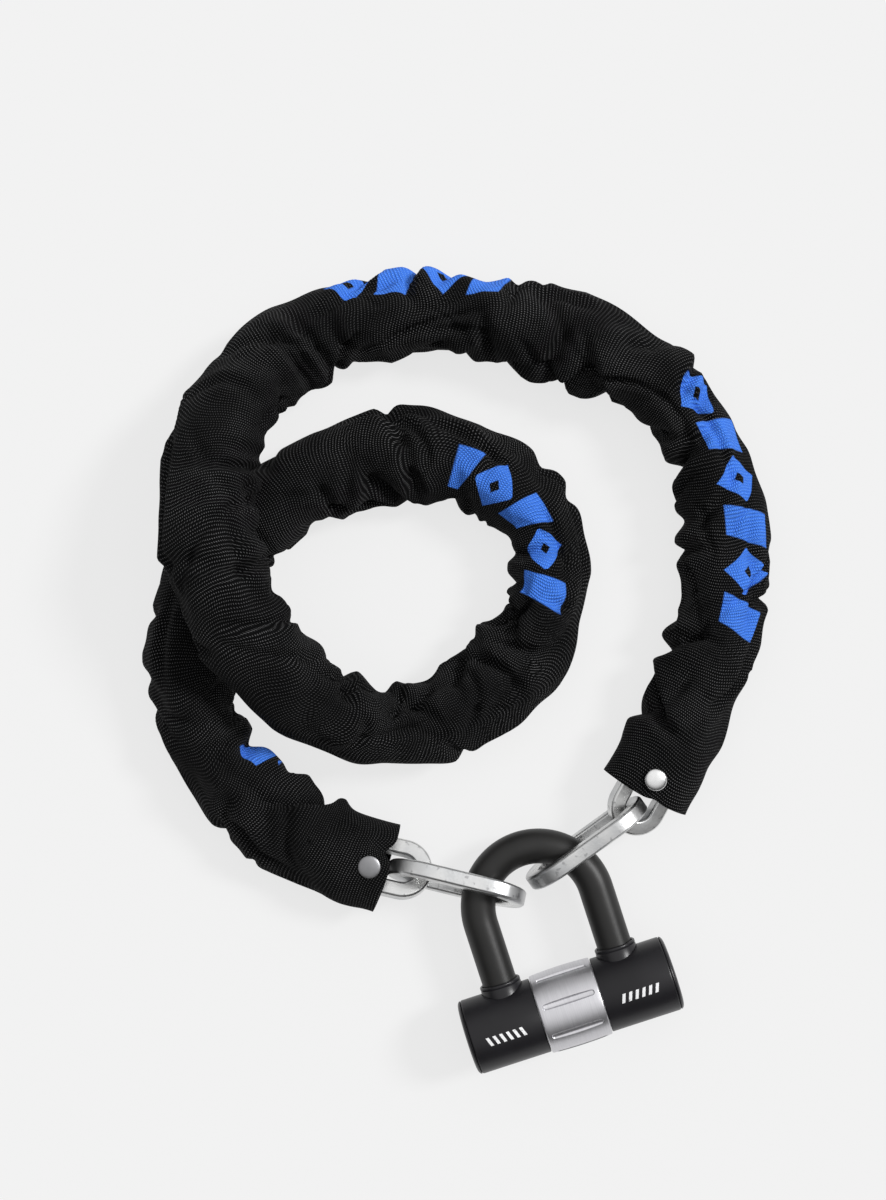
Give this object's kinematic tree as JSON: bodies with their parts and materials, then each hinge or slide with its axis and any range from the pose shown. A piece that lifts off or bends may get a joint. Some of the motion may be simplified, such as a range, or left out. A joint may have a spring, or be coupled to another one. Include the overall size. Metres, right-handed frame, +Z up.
{
  "type": "chain lock",
  "caption": "Square-bar security chain in a woven sleeve, closed by a coated U-shackle and a barrel crossbar with a turning centre band over its keyhole.",
  "frame": {"origin": "on the ground under the middle of the whole object's box", "axes": "+X along the crossbar, +Y from the crossbar towards the shackle's arch and the loops of chain, +Z up from the ground the lock lies on"},
  "size_m": [0.3504, 0.4287, 0.0811],
  "materials": {
    "zinc_steel": "brushed zinc plating",
    "woven_nylon": "ribbed weave, matt",
    "nickel_rivet": "nickel plated",
    "black_vinyl": "smooth satin plastic coat",
    "hardened_steel": "ground",
    "brass": "machined",
    "satin_silver": "satin, brushed round",
    "black_paint": "satin black"
  },
  "bodies": {
    "sleeved_chain": {"sleeve": "woven_nylon", "chain_link_01": "zinc_steel", "chain_link_02": "zinc_steel", "chain_link_03": "zinc_steel", "chain_link_04": "zinc_steel", "chain_link_05": "zinc_steel", "chain_link_06": "zinc_steel", "chain_link_07": "zinc_steel", "chain_link_08": "zinc_steel", "chain_link_09": "zinc_steel", "chain_link_10": "zinc_steel", "chain_link_11": "zinc_steel", "chain_link_12": "zinc_steel", "chain_link_13": "zinc_steel", "chain_link_14": "zinc_steel", "chain_link_15": "zinc_steel", "chain_link_16": "zinc_steel", "chain_link_17": "zinc_steel", "chain_link_18": "zinc_steel", "chain_link_19": "zinc_steel", "chain_link_20": "zinc_steel", "chain_link_21": "zinc_steel", "chain_link_22": "zinc_steel", "chain_link_23": "zinc_steel", "chain_link_24": "zinc_steel", "chain_link_25": "zinc_steel", "chain_link_26": "zinc_steel", "chain_link_27": "zinc_steel", "chain_link_28": "zinc_steel", "chain_link_29": "zinc_steel", "chain_link_30": "zinc_steel", "chain_link_31": "zinc_steel", "chain_link_32": "zinc_steel", "chain_link_33": "zinc_steel", "chain_link_34": "zinc_steel", "chain_link_35": "zinc_steel", "left_rivet": "nickel_rivet", "right_rivet": "nickel_rivet", "left_rivet_back": "nickel_rivet", "right_rivet_back": "nickel_rivet"},
    "left_cross_link": {"left_cross_link": "zinc_steel"},
    "right_cross_link": {"right_cross_link": "zinc_steel"},
    "left_end_link": {"left_end_link": "zinc_steel"},
    "right_end_link": {"right_end_link": "zinc_steel"},
    "shackle": {"shackle": "hardened_steel", "shackle_coating": "black_vinyl"},
    "crossbar": {"crossbar_body": "hardened_steel", "left_cover": "black_paint", "right_cover": "black_paint", "left_leg_collar": "black_paint", "right_leg_collar": "black_paint", "left_end_cap": "black_paint", "right_end_cap": "black_paint", "cylinder_housing": "brass", "cylinder_retaining_pin": "hardened_steel"},
    "centre_band": {"centre_band": "satin_silver"},
    "key_plug": {"key_plug": "brass", "locking_cam": "hardened_steel"},
    "left_bolt": {"left_bolt": "hardened_steel"},
    "right_bolt": {"right_bolt": "hardened_steel"}
  },
  "joints": [
    {"name": "left_cross_link_rock", "type": "hinge", "parent": "sleeved_chain", "child": "left_cross_link", "pos_m": [-0.08433, -0.08863, 0.0192], "axis": [0.8572, -0.515, 0], "range_deg": [0, 8]},
    {"name": "right_cross_link_rock", "type": "hinge", "parent": "sleeved_chain", "child": "right_cross_link", "pos_m": [0.06771, -0.09276, 0.0192], "axis": [-0.7313, -0.682, 0], "range_deg": [-4, 8]},
    {"name": "left_end_link_rock", "type": "hinge", "parent": "sleeved_chain", "child": "left_end_link", "pos_m": [-0.04744, -0.11121, 0.0213], "axis": [0.8517, -0.524, 0], "range_deg": [-2, 12]},
    {"name": "right_end_link_rock", "type": "hinge", "parent": "sleeved_chain", "child": "right_end_link", "pos_m": [0.02589, -0.11196, 0.0213], "axis": [-0.9532, -0.3024, 0], "range_deg": [-8, 0]},
    {"name": "lock_swing", "type": "hinge", "parent": "sleeved_chain", "child": "shackle", "pos_m": [-0.0093, -0.1215, 0.0218], "axis": [-1, 0, 0], "range_deg": [0, 16]},
    {"name": "crossbar_pull", "type": "slide", "parent": "shackle", "child": "crossbar", "axis": [0, -1, 0], "range_m": [0, 0.06]},
    {"name": "centre_band_turn", "type": "hinge", "parent": "crossbar", "child": "centre_band", "pos_m": [-0.0093, -0.1925, 0.0218], "axis": [-1, 0, 0], "range_deg": [0, 90]},
    {"name": "key_turn", "type": "hinge", "parent": "crossbar", "child": "key_plug", "pos_m": [-0.0093, -0.1925, 0.0218], "axis": [0, 1, 0], "range_deg": [0, 90]},
    {"name": "left_bolt_slide", "type": "slide", "parent": "crossbar", "child": "left_bolt", "axis": [-1, 0, 0], "range_m": [0, 0.0052]},
    {"name": "right_bolt_slide", "type": "slide", "parent": "crossbar", "child": "right_bolt", "axis": [1, 0, 0], "range_m": [0, 0.0052]}
  ],
  "couplings": [
    {"joint": "left_bolt_slide", "follows": "key_turn", "m_per_rad": 0.00331},
    {"joint": "right_bolt_slide", "follows": "key_turn", "m_per_rad": 0.00331}
  ]
}
